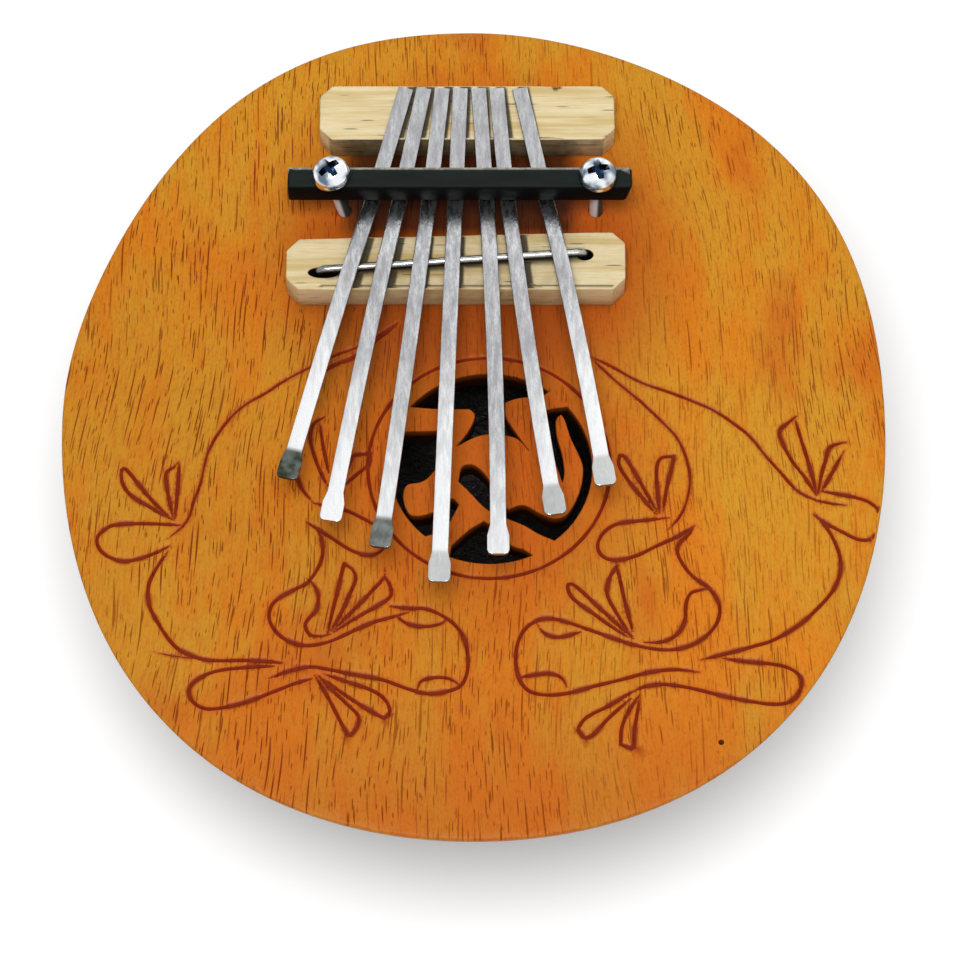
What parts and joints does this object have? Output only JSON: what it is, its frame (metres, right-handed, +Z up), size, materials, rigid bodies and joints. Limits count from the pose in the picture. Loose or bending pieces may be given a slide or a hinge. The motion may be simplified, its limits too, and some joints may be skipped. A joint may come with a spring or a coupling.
{
  "type": "kalimba",
  "caption": "Thumb piano with a carved, pierced wooden soundboard on a half coconut shell, and steel tines held between wooden bridges by a screwed black bar.",
  "frame": {"origin": "on the surface that the shell's foot stands on, under the middle of the soundboard", "axes": "+Z up through the soundboard, +Y from the tine tips towards the rear bridge, +X to the right of the player's view over the tips"},
  "size_m": [0.13, 0.1408, 0.0598],
  "materials": {
    "coconut": "scraped and oiled shell",
    "stained_wood": "orange stain under satin varnish",
    "pale_wood": "bare sanded softwood",
    "spring_steel": "rolled, with grey heat marks",
    "bright_wire": "drawn and bright",
    "black_metal": "satin black paint",
    "bright_zinc": "bright zinc plating"
  },
  "bodies": {
    "resonator": {"coconut_shell": "coconut", "soundboard": "stained_wood", "rear_bridge": "pale_wood", "front_bridge": "pale_wood", "saddle_wire": "bright_wire"},
    "clamp_bar": {"pressure_bar": "black_metal"},
    "screw_left": {"screw_left": "bright_zinc"},
    "screw_right": {"screw_right": "bright_zinc"},
    "tine_1_tail": {"tine_1_tail": "spring_steel"},
    "tine_1_tongue": {"tine_1_tongue": "spring_steel"},
    "tine_2_tail": {"tine_2_tail": "spring_steel"},
    "tine_2_tongue": {"tine_2_tongue": "spring_steel"},
    "tine_3_tail": {"tine_3_tail": "spring_steel"},
    "tine_3_tongue": {"tine_3_tongue": "spring_steel"},
    "tine_4_tail": {"tine_4_tail": "spring_steel"},
    "tine_4_tongue": {"tine_4_tongue": "spring_steel"},
    "tine_5_tail": {"tine_5_tail": "spring_steel"},
    "tine_5_tongue": {"tine_5_tongue": "spring_steel"},
    "tine_6_tail": {"tine_6_tail": "spring_steel"},
    "tine_6_tongue": {"tine_6_tongue": "spring_steel"},
    "tine_7_tail": {"tine_7_tail": "spring_steel"},
    "tine_7_tongue": {"tine_7_tongue": "spring_steel"}
  },
  "joints": [
    {"name": "bar_lift", "type": "slide", "parent": "resonator", "child": "clamp_bar", "axis": [0, 0, 1], "range_m": [0, 0.0015]},
    {"name": "screw_left_turn", "type": "hinge", "parent": "clamp_bar", "child": "screw_left", "pos_m": [-0.02268, 0.0366, 0.05674], "axis": [-0.1392, 0, 0.9903], "range_deg": [0, 432]},
    {"name": "screw_right_turn", "type": "hinge", "parent": "clamp_bar", "child": "screw_right", "pos_m": [0.01983, 0.0366, 0.05631], "axis": [0, 0, 1], "range_deg": [0, 432]},
    {"name": "tine_1_tune", "type": "slide", "parent": "resonator", "child": "tine_1_tail", "axis": [-0.2419, -0.9703, 0], "range_m": [-0.0012, 0.0012]},
    {"name": "tine_1_pluck", "type": "hinge", "parent": "tine_1_tail", "child": "tine_1_tongue", "pos_m": [-0.01938, 0.0228, 0.05275], "axis": [0.9703, -0.2419, 0], "range_deg": [-4, 4], "stiffness_Nm_per_rad": 2.287},
    {"name": "tine_2_tune", "type": "slide", "parent": "resonator", "child": "tine_2_tail", "axis": [-0.1736, -0.9848, 0], "range_m": [-0.0012, 0.0012]},
    {"name": "tine_2_pluck", "type": "hinge", "parent": "tine_2_tail", "child": "tine_2_tongue", "pos_m": [-0.01409, 0.0232, 0.05275], "axis": [0.9848, -0.1736, 0], "range_deg": [-4, 4], "stiffness_Nm_per_rad": 1.933},
    {"name": "tine_3_tune", "type": "slide", "parent": "resonator", "child": "tine_3_tail", "axis": [-0.1097, -0.994, 0], "range_m": [-0.0012, 0.0012]},
    {"name": "tine_3_pluck", "type": "hinge", "parent": "tine_3_tail", "child": "tine_3_tongue", "pos_m": [-0.00835, 0.02363, 0.05275], "axis": [0.994, -0.1097, 0], "range_deg": [-4, 4], "stiffness_Nm_per_rad": 1.76},
    {"name": "tine_4_tune", "type": "slide", "parent": "resonator", "child": "tine_4_tail", "axis": [-0.0349, -0.9994, 0], "range_m": [-0.0012, 0.0012]},
    {"name": "tine_4_pluck", "type": "hinge", "parent": "tine_4_tail", "child": "tine_4_tongue", "pos_m": [-0.00333, 0.02401, 0.05275], "axis": [0.9994, -0.0349, 0], "range_deg": [-4, 4], "stiffness_Nm_per_rad": 1.58},
    {"name": "tine_5_tune", "type": "slide", "parent": "resonator", "child": "tine_5_tail", "axis": [0.0349, -0.9994, 0], "range_m": [-0.0012, 0.0012]},
    {"name": "tine_5_pluck", "type": "hinge", "parent": "tine_5_tail", "child": "tine_5_tongue", "pos_m": [0.00257, 0.02446, 0.05275], "axis": [0.9994, 0.0349, 0], "range_deg": [-4, 4], "stiffness_Nm_per_rad": 1.706},
    {"name": "tine_6_tune", "type": "slide", "parent": "resonator", "child": "tine_6_tail", "axis": [0.1132, -0.9936, 0], "range_m": [-0.0012, 0.0012]},
    {"name": "tine_6_pluck", "type": "hinge", "parent": "tine_6_tail", "child": "tine_6_tongue", "pos_m": [0.00655, 0.02475, 0.05275], "axis": [0.9936, 0.1132, 0], "range_deg": [-4, 4], "stiffness_Nm_per_rad": 1.925},
    {"name": "tine_7_tune", "type": "slide", "parent": "resonator", "child": "tine_7_tail", "axis": [0.1736, -0.9848, 0], "range_m": [-0.0012, 0.0012]},
    {"name": "tine_7_pluck", "type": "hinge", "parent": "tine_7_tail", "child": "tine_7_tongue", "pos_m": [0.01352, 0.02528, 0.05275], "axis": [0.9848, 0.1736, 0], "range_deg": [-4, 4], "stiffness_Nm_per_rad": 2.12}
  ],
  "couplings": [
    {"joint": "screw_left_turn", "follows": "bar_lift", "rad_per_m": 5026.5},
    {"joint": "screw_right_turn", "follows": "bar_lift", "rad_per_m": 5026.5}
  ]
}
